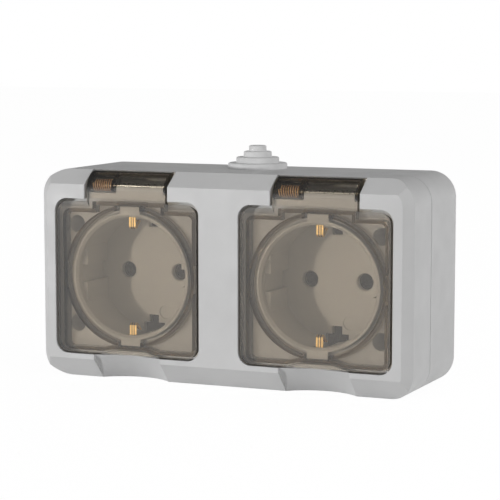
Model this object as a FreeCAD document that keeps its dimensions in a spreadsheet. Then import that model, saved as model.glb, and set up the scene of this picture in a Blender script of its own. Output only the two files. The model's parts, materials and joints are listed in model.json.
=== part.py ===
import FreeCAD, Part
import math
import os
import Sketcher
from FreeCAD import Placement, Rotation, Vector

# Two-gang weatherproof surface socket with sprung clear lids.
# Lengths are millimetres. X runs to the right, Z up, and Y from the front to the wall.
# The origin is the middle of the face that lies on the wall, so the front is at -Y.

DRIVING_SIZES = {
    # housing
    "housing_width": 129.6,
    "housing_height": 69.2,
    "housing_depth": 44.6,
    "housing_corner": 8.5,
    "base_depth": 24.9,
    "base_wall": 3.0,
    "base_back": 2.8,
    "cover_wall": 2.4,
    "seam_gap": 0.3,
    "side_bevel_width": 2.9,
    "side_bevel_depth": 3.2,
    "top_bevel_height": 4.6,
    "top_bevel_depth": 6.6,
    "bottom_bevel_height": 6.8,
    "bottom_bevel_depth": 6.6,
    # places of the two sockets and their lids
    "socket_pitch": 65.8,
    "window_width": 52.1,
    "window_height": 51.4,
    "window_drop": 0.4,
    "window_corner": 4.3,
    "field_depth": 5.4,
    "field_thickness": 2.0,
    "scoop_width": 24.0,
    "scoop_edge": 0.4,
    "scoop_depth": 2.6,
    "scoop_foot": 11.6,
    "sill_width": 22.0,
    "sill_top_width": 11.2,
    "sill_rise": 1.5,
    # hinge
    "notch_width": 30.1,
    "hinge_depth": 4.6,
    "hinge_height": 29.6,
    "hinge_pocket_radius": 5.35,
    "hinge_pocket_floor": 26.4,
    "hinge_pocket_roof": 32.2,
    "hinge_pocket_depth": 15.0,
    "hinge_wall": 1.6,
    "weir_front": 2.2,
    "weir_thickness": 1.2,
    "weir_top": 29.5,
    "weir_low_top": 27.3,
    "pin_radius": 1.0,
    "pin_seat_length": 2.0,
    "pin_seat_clearance": 0.02,
    "pin_bore_clearance": 0.05,
    # lid
    "lid_gap_side": 0.8,
    "lid_gap_bottom": 0.6,
    "lid_top": 24.4,
    "lid_top_slant": 1.8,
    "lid_inset": 0.2,
    "lid_thickness": 1.8,
    "lid_corner": 3.9,
    "lid_skirt_inset": 1.2,
    "lid_skirt_foot": 0.45,
    "lid_skirt_top": 21.9,
    "lid_skirt_wall": 1.2,
    "lid_skirt_clearance": 0.4,
    "lid_step_top": 24.35,
    "lid_step_half": 13.0,
    "lid_grip_rise": 0.95,
    "lid_grip_half": 6.1,
    "lid_grip_run": 3.75,
    "lid_tail_width": 28.4,
    "lid_tail_depth": 6.4,
    "lid_tail_height": 28.1,
    "lid_tail_wall": 1.3,
    "lid_rib_inner": 22.4,
    "lid_rib_wall": 0.9,
    "lid_rib_tab_half": 4.05,
    "ear_radius": 2.3,
    "ear_thickness": 1.2,
    "end_ear_thickness": 0.7,
    "spring_bay": 7.6,
    "spring_wire": 0.8,
    "spring_radius": 1.7,
    "spring_play": 0.25,
    "spring_turns": 7,
    "spring_start_angle": 160.0,
    "spring_end_angle": 70.0,
    "spring_cover_leg": 3.3,
    "spring_lid_leg": 0.75,
    # socket insert
    "cup_radius": 19.5,
    "cup_wall": 1.4,
    "cup_rim_depth": 3.3,
    "cup_depth": 17.5,
    "cup_floor": 2.2,
    "cup_rim_bevel": 0.8,
    "cup_opening_clearance": 0.3,
    "cup_flange_radius": 24.5,
    "cup_flange": 2.0,
    "guide_flat": 17.2,
    "guide_drop": 2.8,
    "guide_groove": 5.8,
    "lug_width": 7.2,
    "lug_reach": 22.9,
    "boss_width": 10.4,
    "boss_reach": 23.3,
    "channel_width": 4.2,
    "channel_reach": 22.0,
    "channel_drop": 1.5,
    "slot_wide": 8.0,
    "slot_wide_start": 17.4,
    "slot_narrow": 3.5,
    "slot_narrow_start": 14.8,
    "slot_wide_length": 6.0,
    "pin_hole_radius": 2.7,
    "pin_spacing": 19.0,
    "pin_hole_bevel": 0.35,
    "mark_radius": 2.3,
    "mark_x": 4.4,
    "mark_z": 13.7,
    "mark_depth": 0.3,
    "ear_offset": 18.5,
    "insert_ear_radius": 4.4,
    "insert_ear_height": 5.0,
    "insert_screw_clearance": 1.8,
    "insert_head_pocket": 3.2,
    # contacts and their carrier
    "carrier_width": 35.0,
    "carrier_height": 26.0,
    "carrier_back": 1.2,
    "pole_bay_width": 8.8,
    "pole_bay_drop": 4.4,
    "sleeve_inner": 2.5,
    "sleeve_wall": 0.8,
    "sleeve_start": 1.0,
    "sleeve_length": 15.5,
    "sleeve_slit": 1.4,
    "terminal_width": 7.6,
    "terminal_top": 10.8,
    "terminal_start": 3.0,
    "terminal_length": 9.0,
    "wire_hole_radius": 1.6,
    "terminal_screw_radius": 1.5,
    "terminal_head_radius": 2.6,
    "terminal_head": 1.8,
    "terminal_screw_length": 4.6,
    "earth_bay_width": 6.4,
    "earth_block_width": 5.6,
    "earth_block_top": 3.6,
    "earth_strip_width": 2.4,
    "earth_strip": 0.5,
    "earth_arm_reach": 21.1,
    "earth_tip_reach": 15.7,
    "earth_bend": 1.2,
    "earth_back_gap": 2.2,
    # fasteners of the housing
    "cover_screw_x": 53.4,
    "cover_screw_z": 16.5,
    "well_radius": 2.85,
    "well_wall": 1.5,
    "well_seat": 2.3,
    "well_play": 0.3,
    "cover_screw_radius": 1.5,
    "cover_screw_head_radius": 2.7,
    "cover_screw_head": 2.4,
    "cover_screw_length": 14.0,
    "insert_screw_head_radius": 2.75,
    "insert_screw_head": 1.9,
    "insert_screw_length": 11.0,
    "screw_play": 0.2,
    "post_radius": 3.6,
    "post_hole_depth": 12.0,
    "drive_slot": 0.8,
    "drive_slot_depth": 0.9,
    # wall fixing, seals and cable entry
    "wall_slot_x": 92.0,
    "wall_slot_z": 51.0,
    "wall_slot_radius": 2.2,
    "wall_slot_length": 7.4,
    "gasket_inset": 0.9,
    "gasket_width": 1.3,
    "gasket_groove": 1.0,
    "gasket_play": 0.1,
    "seal_inner": 21.9,
    "seal_width": 1.9,
    "seal_groove": 0.8,
    "seal_proud": 0.2,
    "seal_frame_half": 4.4,
    "seal_frame_wall": 1.2,
    "seal_frame_reach": 23.3,
    "entry_hole_radius": 7.2,
    "grommet_step": 1.9,
    "grommet_radius_1": 9.8,
    "grommet_radius_2": 7.1,
    "grommet_radius_3": 4.65,
    "grommet_radius_4": 2.9,
    "grommet_wall": 1.3,
    "grommet_flange": 1.5,
    "grommet_flange_radius": 8.8,
    "grommet_bevel": 0.45,
}

SHEET_NAME = "Sizes"
# Cutting sketches start this far outside the solid that they cut.
OVERRUN = 1.0
# Flat sides of the spring: along each turn of its coil, and round its wire.
SPRING_SIDES = 16
WIRE_SIDES = 6

document = FreeCAD.newDocument("weatherproof_socket")


class Length:
    """A length with its value in millimetres and the expression that gives it."""

    def __init__(self, value, text):
        self.value = value
        self.text = text

    def __add__(self, other):
        other = as_length(other)
        return Length(self.value + other.value, f"({self.text} + {other.text})")

    def __sub__(self, other):
        other = as_length(other)
        return Length(self.value - other.value, f"({self.text} - {other.text})")

    def __mul__(self, other):
        other = as_length(other)
        return Length(self.value * other.value, f"{self.text} * {other.text}")

    def __truediv__(self, other):
        other = as_length(other)
        return Length(self.value / other.value, f"{self.text} / {other.text}")

    def __neg__(self):
        return Length(-self.value, f"(0 - {self.text})")

    __radd__ = __add__
    __rmul__ = __mul__

    def __rsub__(self, other):
        return as_length(other) - self


def as_length(item):
    return item if isinstance(item, Length) else Length(float(item), str(item))


def root(item):
    """The square root of a product of lengths."""
    return Length(math.sqrt(item.value), f"sqrt({item.text})")


class Sizes:
    """The driving sizes by name, each tied to its cell of the sheet."""


def make_sheet():
    sheet = document.addObject("Spreadsheet::Sheet", SHEET_NAME)
    for row, (name, number) in enumerate(DRIVING_SIZES.items(), start=1):
        sheet.set(f"A{row}", name)
        sheet.set(f"B{row}", str(number))
        sheet.setAlias(f"B{row}", name)
    document.recompute()
    for name in DRIVING_SIZES:
        setattr(Sizes, name, Length(float(sheet.get(name)), f"{SHEET_NAME}.{name}"))


make_sheet()
S = Sizes

# Places that several pieces share.
FRONT = S.housing_depth
HALF_WIDTH = S.housing_width / 2
HALF_HEIGHT = S.housing_height / 2
COVER_REAR = S.base_depth + S.seam_gap
WINDOW_TOP = S.window_height / 2 - S.window_drop
WINDOW_BOTTOM = S.window_height / 2 + S.window_drop
FIELD_BACK = S.field_depth + S.field_thickness
RIM = S.cup_rim_depth
CUP_FLOOR = S.cup_rim_depth + S.cup_depth
CUP_BACK = CUP_FLOOR + S.cup_floor
CUP_OUTER = S.cup_radius + S.cup_wall
LID_BACK = S.lid_inset + S.lid_thickness
LID_REAR = S.field_depth - S.lid_skirt_clearance
LID_BOTTOM = WINDOW_BOTTOM - S.lid_gap_bottom
LID_WIDTH = S.window_width - S.lid_gap_side * 2
TAIL_RADIUS = S.lid_tail_depth - S.lid_inset
NOTCH_HALF = S.notch_width / 2
TAIL_HALF = S.lid_tail_width / 2
INNER_EAR = -TAIL_HALF + S.end_ear_thickness + S.spring_bay
PIN_HALF = NOTCH_HALF + S.pin_seat_length
SEAT_DEPTH = S.housing_depth - S.base_depth
CARRIER_REAR = S.housing_depth - S.base_back
ENTRY_Y = S.base_depth / 2
SIDES = {"left": -1, "right": 1}


def at(depth):
    """The distance from the wall of a plane that lies this deep behind the front."""
    return FRONT - depth


# Bodies, sketches and features.

def new_body(label, x=None, y=None, z=None, turn=None):
    body = document.addObject("PartDesign::Body", label)
    body.Label = label
    if turn is not None:
        body.Placement = Placement(Vector(), turn)
    for axis, place in (("x", x), ("y", y), ("z", z)):
        if place is not None:
            body.setExpression(f"Placement.Base.{axis}", place.text)
    return body


def origin_feature(body, role):
    return next(item for item in body.Origin.OriginFeatures if item.Role == role)


def new_sketch(body, plane, offset, shift_x=None, shift_y=None):
    """A sketch on one of the body's origin planes, moved along its normal."""
    sketch = body.newObject("Sketcher::SketchObject", "Sketch")
    sketch.AttachmentSupport = (origin_feature(body, plane), [""])
    sketch.MapMode = "FlatFace"
    for axis, place in (("x", shift_x), ("y", shift_y), ("z", offset)):
        if place is not None:
            sketch.setExpression(f"AttachmentOffset.Base.{axis}", as_length(place).text)
    return sketch


def front_sketch(body, depth, shift_x=None, shift_z=None):
    """A sketch seen from the front, in a plane this deep behind the front face."""
    return new_sketch(body, "XZ_Plane", at(depth), shift_x, shift_z)


def bind(sketch, constraint, amount):
    index = sketch.addConstraint(constraint)
    name = f"size_{index}"
    sketch.renameConstraint(index, name)
    sketch.setExpression(f"Constraints.{name}", amount.text)


def pin_down(sketch, item, end, x, y):
    """Ties a point of the sketch to its two coordinates."""
    x = as_length(x)
    y = as_length(y)
    if x.value == 0:
        sketch.addConstraint(Sketcher.Constraint("PointOnObject", item, end, -2))
    else:
        bind(sketch, Sketcher.Constraint("DistanceX", -1, 1, item, end, x.value), x)
    if y.value == 0:
        sketch.addConstraint(Sketcher.Constraint("PointOnObject", item, end, -1))
    else:
        bind(sketch, Sketcher.Constraint("DistanceY", -1, 1, item, end, y.value), y)


def add_circle(sketch, x, y, radius):
    x = as_length(x)
    y = as_length(y)
    circle = Part.Circle(Vector(x.value, y.value, 0), Vector(0, 0, 1), radius.value)
    item = sketch.addGeometry(circle)
    pin_down(sketch, item, 3, x, y)
    bind(sketch, Sketcher.Constraint("Radius", item, radius.value), radius)


def add_polygon(sketch, corners):
    """A closed outline of straight lines through the corners."""
    corners = [(as_length(x), as_length(y)) for x, y in corners]
    points = [Vector(x.value, y.value, 0) for x, y in corners]
    first = sketch.GeometryCount
    count = len(points)
    for index in range(count):
        sketch.addGeometry(Part.LineSegment(points[index], points[(index + 1) % count]))
    for index, (x, y) in enumerate(corners):
        following = first + (index + 1) % count
        sketch.addConstraint(Sketcher.Constraint("Coincident", first + index, 2, following, 1))
        pin_down(sketch, first + index, 1, x, y)


def add_rectangle(sketch, left, right, bottom, top):
    add_polygon(sketch, [(left, bottom), (right, bottom), (right, top), (left, top)])


def add_rounded_rectangle(sketch, left, right, bottom, top, radius):
    """Four lines and four equal arcs that run into each other."""
    left, right, bottom, top = (as_length(side) for side in (left, right, bottom, top))
    x0, x1, y0, y1, r = left.value, right.value, bottom.value, top.value, radius.value
    first = sketch.GeometryCount
    ends = [
        (Vector(x0 + r, y0, 0), Vector(x1 - r, y0, 0)),
        (Vector(x1, y0 + r, 0), Vector(x1, y1 - r, 0)),
        (Vector(x1 - r, y1, 0), Vector(x0 + r, y1, 0)),
        (Vector(x0, y1 - r, 0), Vector(x0, y0 + r, 0)),
    ]
    centres = [(x1 - r, y0 + r), (x1 - r, y1 - r), (x0 + r, y1 - r), (x0 + r, y0 + r)]
    for start, end in ends:
        sketch.addGeometry(Part.LineSegment(start, end))
    for quarter, (x, y) in enumerate(centres):
        circle = Part.Circle(Vector(x, y, 0), Vector(0, 0, 1), r)
        start = math.radians(90 * quarter - 90)
        sketch.addGeometry(Part.ArcOfCircle(circle, start, start + math.pi / 2))
    for side in range(4):
        arc = first + 4 + side
        sketch.addConstraint(Sketcher.Constraint("Tangent", first + side, 2, arc, 1))
        following = first + (side + 1) % 4
        sketch.addConstraint(Sketcher.Constraint("Tangent", arc, 2, following, 1))
        if side:
            sketch.addConstraint(Sketcher.Constraint("Equal", first + 4, arc))
    sketch.addConstraint(Sketcher.Constraint("Horizontal", first))
    sketch.addConstraint(Sketcher.Constraint("Vertical", first + 1))
    bind(sketch, Sketcher.Constraint("DistanceY", -1, 1, first, 1, y0), bottom)
    bind(sketch, Sketcher.Constraint("DistanceX", -1, 1, first + 1, 1, x1), right)
    bind(sketch, Sketcher.Constraint("DistanceY", -1, 1, first + 2, 1, y1), top)
    bind(sketch, Sketcher.Constraint("DistanceX", -1, 1, first + 3, 1, x0), left)
    bind(sketch, Sketcher.Constraint("Radius", first + 4, r), radius)


def check_change(body, volume_before, grows):
    document.recompute()
    change = body.Shape.Volume - volume_before
    if (change > 0) != grows or abs(change) < 1e-6:
        raise RuntimeError(f"a feature of {body.Label} changed its volume by {change:.4f}")


def volume_of(body):
    document.recompute()
    return body.Shape.Volume if body.Tip is not None and body.Tip.Shape.Solids else 0.0


def pad(body, sketch, length, backwards=False):
    before = volume_of(body)
    feature = body.newObject("PartDesign::Pad", "Pad")
    feature.Profile = sketch
    feature.Reversed = backwards
    feature.setExpression("Length", as_length(length).text)
    check_change(body, before, True)
    return feature


def pocket(body, sketch, length, backwards=False):
    before = volume_of(body)
    feature = body.newObject("PartDesign::Pocket", "Pocket")
    feature.Profile = sketch
    feature.Reversed = backwards
    feature.setExpression("Length", as_length(length).text)
    check_change(body, before, False)
    return feature


def cut_between(body, first, second):
    """Cuts the solid that runs straight from one sketch to the other."""
    before = volume_of(body)
    feature = body.newObject("PartDesign::SubtractiveLoft", "Loft")
    feature.Profile = first
    feature.Sections = [second]
    feature.Ruled = True
    check_change(body, before, False)
    return feature


def revolve(body, sketch, axis):
    before = volume_of(body)
    feature = body.newObject("PartDesign::Revolution", "Revolution")
    feature.Profile = sketch
    feature.ReferenceAxis = (sketch, [axis])
    feature.Angle = 360
    check_change(body, before, True)
    return feature


def edges_where(body, test):
    """The names of the tip's edges whose ends, middle or centre pass a test."""
    document.recompute()
    names = []
    for index, edge in enumerate(body.Tip.Shape.Edges, start=1):
        if test(edge):
            names.append(f"Edge{index}")
    if not names:
        raise RuntimeError(f"no edge of {body.Label} fits")
    return names


def bevel(body, names, size, other_size=None, flip=False):
    before = volume_of(body)
    feature = body.newObject("PartDesign::Chamfer", "Chamfer")
    feature.Base = (body.Tip if body.Tip is not feature else feature.BaseFeature, names)
    feature.setExpression("Size", size.text)
    if other_size is not None:
        feature.ChamferType = "Two distances"
        feature.setExpression("Size2", other_size.text)
        feature.FlipDirection = flip
    check_change(body, before, False)
    return feature


def lies_in_plane(edge, axis, place, slack=1e-4):
    box = edge.BoundBox
    low = {"x": box.XMin, "y": box.YMin, "z": box.ZMin}[axis]
    high = {"x": box.XMax, "y": box.YMax, "z": box.ZMax}[axis]
    return abs(low - place) < slack and abs(high - place) < slack


def outline(sketch, inset=0):
    """The housing's rounded outline, moved inwards all round."""
    add_rounded_rectangle(
        sketch,
        -(HALF_WIDTH - inset),
        HALF_WIDTH - inset,
        -(HALF_HEIGHT - inset),
        HALF_HEIGHT - inset,
        S.housing_corner - inset,
    )


# The housing.

def cut_wall_slots(body):
    sketch = new_sketch(body, "XZ_Plane", S.base_back + OVERRUN)
    half = S.wall_slot_length / 2
    for side_x in SIDES.values():
        for side_z in SIDES.values():
            x = S.wall_slot_x / 2 * side_x
            z = S.wall_slot_z / 2 * side_z
            add_rounded_rectangle(
                sketch,
                x - half,
                x + half,
                z - S.wall_slot_radius,
                z + S.wall_slot_radius,
                S.wall_slot_radius * 0.999,
            )
    pocket(body, sketch, S.base_back + OVERRUN * 2)


def add_posts(body):
    """Posts for the cover's screws and, nearer the front, for the inserts' screws."""
    sketch = new_sketch(body, "XZ_Plane", S.base_back)
    for side_x in SIDES.values():
        for side_z in SIDES.values():
            add_circle(sketch, S.cover_screw_x * side_x, S.cover_screw_z * side_z, S.post_radius)
    pad(body, sketch, S.base_depth - S.base_back)
    sketch = new_sketch(body, "XZ_Plane", S.base_back)
    for x, z in insert_screw_places():
        add_circle(sketch, x, z, S.post_radius)
    pad(body, sketch, at(FIELD_BACK + S.insert_ear_height) - S.base_back)
    for tops, places, radius in (
        (S.base_depth, cover_screw_places(), S.cover_screw_radius),
        (at(FIELD_BACK + S.insert_ear_height), insert_screw_places(), S.cover_screw_radius),
    ):
        sketch = new_sketch(body, "XZ_Plane", tops + OVERRUN)
        for x, z in places:
            add_circle(sketch, x, z, radius)
        pocket(body, sketch, S.post_hole_depth + OVERRUN)


def cover_screw_places():
    return [
        (S.cover_screw_x * side_x, S.cover_screw_z * side_z)
        for side_x in SIDES.values()
        for side_z in SIDES.values()
    ]


def insert_screw_places():
    """Two screws hold each insert, on the side towards the middle of the housing."""
    return [
        ((S.socket_pitch / 2 - S.ear_offset) * side_x, S.ear_offset * side_z)
        for side_x in SIDES.values()
        for side_z in SIDES.values()
    ]


def make_base_box():
    body = new_body("base_box")
    sketch = new_sketch(body, "XZ_Plane", 0)
    outline(sketch)
    pad(body, sketch, S.base_depth)
    sketch = new_sketch(body, "XZ_Plane", S.base_depth)
    outline(sketch, S.base_wall)
    pocket(body, sketch, S.base_depth - S.base_back)
    sketch = new_sketch(body, "XZ_Plane", S.base_depth)
    outline(sketch, S.gasket_inset)
    outline(sketch, S.gasket_inset + S.gasket_width)
    pocket(body, sketch, S.gasket_groove)
    add_posts(body)
    cut_wall_slots(body)
    sketch = new_sketch(body, "XY_Plane", HALF_HEIGHT + OVERRUN)
    add_circle(sketch, 0, -ENTRY_Y, S.entry_hole_radius)
    pocket(body, sketch, S.base_wall + OVERRUN * 2)
    return body


def make_cover_gasket():
    body = new_body("cover_gasket")
    sketch = new_sketch(body, "XZ_Plane", S.base_depth - S.gasket_groove)
    outline(sketch, S.gasket_inset + S.gasket_play)
    outline(sketch, S.gasket_inset + S.gasket_width - S.gasket_play)
    pad(body, sketch, S.gasket_groove + S.seam_gap)
    return body


def make_cable_grommet():
    """A stepped soft cone, hollow from below, that snaps into the top wall of the base."""
    body = new_body("cable_grommet", y=-ENTRY_Y, z=HALF_HEIGHT)
    sketch = new_sketch(body, "XZ_Plane", 0)
    step = S.grommet_step
    wall = S.grommet_wall
    inside = -S.base_wall - S.grommet_flange
    neck = S.entry_hole_radius - S.gasket_play
    steps = [S.grommet_radius_1, S.grommet_radius_2, S.grommet_radius_3, S.grommet_radius_4]
    soft = S.grommet_bevel
    corners = [(0, step * 4)]
    for level in (4, 3, 2, 1):
        edge = steps[level - 1]
        corners += [
            (edge - soft, step * level),
            (edge - soft * 0.3, step * level - soft * 0.3),
            (edge, step * level - soft),
            (edge, step * (level - 1)),
        ]
    corners += [
        (neck, 0),
        (neck, -S.base_wall),
        (S.grommet_flange_radius, -S.base_wall),
        (S.grommet_flange_radius, inside),
        (neck - wall, inside),
        (neck - wall, step * 2 - wall),
        (steps[2] - wall, step * 2 - wall),
        (steps[2] - wall, step * 3 - wall),
        (steps[3] - wall, step * 3 - wall),
        (steps[3] - wall, step * 4 - wall),
        (0, step * 4 - wall),
    ]
    add_polygon(sketch, corners)
    revolve(body, sketch, "V_Axis")
    return body


def cover_shell(body):
    """The outer form: a rounded box with bevelled front edges, open at the rear."""
    sketch = new_sketch(body, "XZ_Plane", COVER_REAR)
    outline(sketch)
    pad(body, sketch, FRONT - COVER_REAR)
    front = -FRONT.value
    names = edges_where(body, lambda edge: lies_in_plane(edge, "y", front))
    bevel(body, names, S.side_bevel_depth, S.side_bevel_width)
    cut_lengthwise(body, [
        (-FRONT - OVERRUN, HALF_HEIGHT - S.top_bevel_height),
        (-FRONT, HALF_HEIGHT - S.top_bevel_height),
        (-at(S.top_bevel_depth), HALF_HEIGHT),
        (-at(S.top_bevel_depth), HALF_HEIGHT + OVERRUN),
        (-FRONT - OVERRUN, HALF_HEIGHT + OVERRUN),
    ])
    cut_lengthwise(body, [
        (-FRONT - OVERRUN, -(HALF_HEIGHT - S.bottom_bevel_height)),
        (-FRONT, -(HALF_HEIGHT - S.bottom_bevel_height)),
        (-at(S.bottom_bevel_depth), -HALF_HEIGHT),
        (-at(S.bottom_bevel_depth), -(HALF_HEIGHT + OVERRUN)),
        (-FRONT - OVERRUN, -(HALF_HEIGHT + OVERRUN)),
    ])
    sketch = new_sketch(body, "XZ_Plane", COVER_REAR)
    outline(sketch, S.cover_wall)
    pocket(body, sketch, at(FIELD_BACK) - COVER_REAR, backwards=True)
    # the hollow behind the strip between the two windows
    sketch = front_sketch(body, FIELD_BACK)
    half = (S.socket_pitch - S.window_width) / 2 - S.hinge_wall
    add_rectangle(sketch, -half, half, -(WINDOW_BOTTOM - S.cover_wall), WINDOW_TOP - S.cover_wall)
    pocket(body, sketch, FIELD_BACK - S.cover_wall, backwards=True)


def cut_lengthwise(body, corners):
    """Cuts a profile in the YZ plane through the whole width of the housing."""
    sketch = new_sketch(body, "YZ_Plane", HALF_WIDTH + OVERRUN)
    add_polygon(sketch, corners)
    pocket(body, sketch, S.housing_width + OVERRUN * 2)


def cut_window(body, centre):
    """The recess that takes the lid, and the opening for the insert in its floor."""
    half = S.window_width / 2
    sketch = new_sketch(body, "XZ_Plane", FRONT + OVERRUN)
    add_rounded_rectangle(
        sketch, centre - half, centre + half, -WINDOW_BOTTOM, WINDOW_TOP, S.window_corner
    )
    pocket(body, sketch, S.field_depth + OVERRUN)
    sketch = front_sketch(body, S.field_depth - OVERRUN)
    add_circle(sketch, centre, 0, CUP_OUTER + S.cup_opening_clearance)
    pocket(body, sketch, S.field_thickness + OVERRUN * 2)
    sketch = front_sketch(body, S.field_depth - OVERRUN)
    half = S.lug_width / 2 + S.cup_opening_clearance
    reach = S.lug_reach + S.cup_opening_clearance
    add_rectangle(sketch, centre - half, centre + half, -reach, reach)
    pocket(body, sketch, S.field_thickness + OVERRUN * 2)


def cut_seal_groove(body, centre):
    """The groove round the opening, wider at the lugs above and below it."""
    sketch = front_sketch(body, S.field_depth)
    add_circle(sketch, centre, 0, S.seal_inner)
    add_circle(sketch, centre, 0, S.seal_inner + S.seal_width)
    pocket(body, sketch, S.seal_groove)
    for side in SIDES.values():
        sketch = front_sketch(body, S.field_depth)
        half = S.seal_frame_half + S.seal_frame_wall
        inner = S.seal_inner * side
        outer = (S.seal_frame_reach + S.seal_frame_wall) * side
        add_rectangle(sketch, centre - half, centre + half, inner, outer)
        pocket(body, sketch, S.seal_groove)


def add_hinge_housing(body, centre):
    """The thick part behind the hinge, which keeps the pocket closed to the inside."""
    half = NOTCH_HALF + S.hinge_wall + S.pin_seat_length
    depth = S.hinge_pocket_depth + S.hinge_wall
    sketch = front_sketch(body, depth)
    bottom = S.hinge_pocket_floor - S.hinge_wall
    add_rectangle(sketch, centre - half, centre + half, bottom, HALF_HEIGHT - S.cover_wall / 2)
    pad(body, sketch, depth - FIELD_BACK)


def cut_hinge_pocket(body, centre):
    """The notch for the lid's tail: open to the front and the top, round at the rear."""
    sketch = new_sketch(body, "YZ_Plane", centre + NOTCH_HALF)
    radius = S.hinge_pocket_radius
    rise = HALF_HEIGHT - S.hinge_height
    drop = S.hinge_height - S.hinge_pocket_floor
    pin_y = -at(S.hinge_depth)
    floor_y = pin_y + root(radius * radius - drop * drop)
    mouth_y = pin_y + root(radius * radius - rise * rise)
    weir_rear = -at(S.weir_front + S.weir_thickness)
    above = HALF_HEIGHT + OVERRUN
    corners = [
        (floor_y, S.hinge_pocket_floor),
        (weir_rear, S.hinge_pocket_floor),
        (weir_rear, S.weir_top),
        (-at(S.weir_front), S.weir_top),
        (-at(S.weir_front), WINDOW_TOP - OVERRUN),
        (-FRONT - OVERRUN, WINDOW_TOP - OVERRUN),
        (-FRONT - OVERRUN, above),
        (mouth_y, above),
        (mouth_y, HALF_HEIGHT),
    ]
    points = [Vector(y.value, z.value, 0) for y, z in corners]
    for start, end in zip(points, points[1:]):
        sketch.addGeometry(Part.LineSegment(start, end))
    for line in range(len(points) - 2):
        sketch.addConstraint(Sketcher.Constraint("Coincident", line, 2, line + 1, 1))
    centre_point = Vector(pin_y.value, S.hinge_height.value, 0)
    circle = Part.Circle(centre_point, Vector(0, 0, 1), radius.value)
    start = math.atan2(-drop.value, (floor_y - pin_y).value)
    end = math.atan2(rise.value, (mouth_y - pin_y).value)
    arc = sketch.addGeometry(Part.ArcOfCircle(circle, start, end))
    last = len(points) - 2
    sketch.addConstraint(Sketcher.Constraint("Coincident", arc, 1, 0, 1))
    sketch.addConstraint(Sketcher.Constraint("Coincident", arc, 2, last, 2))
    for line, (y, z) in enumerate(corners[1:-1], start=1):
        pin_down(sketch, line, 1, y, z)
    pin_down(sketch, arc, 3, pin_y, S.hinge_height)
    bind(sketch, Sketcher.Constraint("Radius", arc, radius.value), radius)
    sketch.addConstraint(Sketcher.Constraint("Horizontal", 0))
    bind(sketch, Sketcher.Constraint("DistanceY", -1, 1, last, 2, HALF_HEIGHT.value), HALF_HEIGHT)
    pocket(body, sketch, S.notch_width)
    sketch = new_sketch(body, "YZ_Plane", centre + NOTCH_HALF)
    back = -at(S.hinge_pocket_depth)
    add_rectangle(sketch, pin_y, back, S.hinge_pocket_floor, S.hinge_pocket_roof)
    pocket(body, sketch, S.notch_width)


def cut_ear_bays(body, centre):
    """The weir stands lower where the spring and the lid's ears turn."""
    sketch = front_sketch(body, S.weir_front - S.weir_thickness / 2)
    high = S.weir_top + OVERRUN
    inner = centre + INNER_EAR + S.ear_thickness + S.spring_wire / 2
    add_rectangle(sketch, centre - NOTCH_HALF, inner, S.weir_low_top, high)
    outer = centre + (TAIL_HALF - S.ear_thickness - S.spring_wire / 2)
    add_rectangle(sketch, outer, centre + NOTCH_HALF, S.weir_low_top, high)
    pocket(body, sketch, S.weir_thickness * 2)


def cut_pin_seats(body, centre):
    sketch = new_sketch(body, "YZ_Plane", centre + PIN_HALF)
    add_circle(sketch, -at(S.hinge_depth), S.hinge_height, S.pin_radius + S.pin_seat_clearance)
    pocket(body, sketch, PIN_HALF * 2)


def add_scoop_back(body, centre):
    """Thicker wall behind the finger scoop, which stays closed to the inside."""
    depth = S.scoop_foot + S.hinge_wall
    half = S.scoop_width / 2 + S.cover_wall
    bottom = -(HALF_HEIGHT - S.cover_wall / 2)
    top = -(WINDOW_BOTTOM + S.cover_wall / 2)
    sketch = front_sketch(body, depth)
    add_rectangle(sketch, centre - half, centre + half, bottom, top)
    pad(body, sketch, depth - FIELD_BACK)


def add_scoop_sill(body, centre):
    """A low step in the window's floor, where the scoop runs on behind the lid's edge."""
    wide = S.sill_width / 2
    narrow = S.sill_top_width / 2
    bottom = -(WINDOW_BOTTOM + S.cover_wall / 4)
    top = -(WINDOW_BOTTOM - S.sill_rise)
    sketch = front_sketch(body, S.field_depth)
    add_polygon(sketch, [
        (centre - wide, bottom),
        (centre + wide, bottom),
        (centre + wide, -WINDOW_BOTTOM),
        (centre + narrow, top),
        (centre - narrow, top),
        (centre - wide, -WINDOW_BOTTOM),
    ])
    pad(body, sketch, S.field_depth - S.scoop_depth)


def scoop_outline(body, centre, height, edge, middle):
    """The scoop in a level plane: an arc behind, from edge to middle depth, open in front."""
    sketch = new_sketch(body, "XY_Plane", height)
    half = S.scoop_width / 2
    rise = middle - edge
    radius = (half * half + rise * rise) / rise / 2
    corners = [
        (centre - half, -at(edge)),
        (centre - half, -FRONT - OVERRUN),
        (centre + half, -FRONT - OVERRUN),
        (centre + half, -at(edge)),
    ]
    points = [Vector(x.value, y.value, 0) for x, y in corners]
    for start, end in zip(points, points[1:]):
        sketch.addGeometry(Part.LineSegment(start, end))
    arc_middle = Vector(centre.value, (-at(middle) - radius).value, 0)
    circle = Part.Circle(arc_middle, Vector(0, 0, 1), radius.value)
    lean = math.acos(half.value / radius.value)
    arc = sketch.addGeometry(Part.ArcOfCircle(circle, lean, math.pi - lean))
    for line, following in ((0, 1), (1, 2), (2, arc), (arc, 0)):
        sketch.addConstraint(Sketcher.Constraint("Coincident", line, 2, following, 1))
    for line, (x, y) in enumerate(corners[:3]):
        pin_down(sketch, line, 1, x, y)
    pin_down(sketch, 2, 2, *corners[3])
    bind(sketch, Sketcher.Constraint("Radius", arc, radius.value), radius)
    return sketch


def cut_scoop(body, centre):
    """The hollow below the lid's edge that lets a finger reach it."""
    top = scoop_outline(body, centre, -WINDOW_BOTTOM, S.scoop_edge, S.scoop_depth)
    bottom = scoop_outline(body, centre, -HALF_HEIGHT, S.bottom_bevel_depth, S.scoop_foot)
    cut_between(body, top, bottom)


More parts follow.
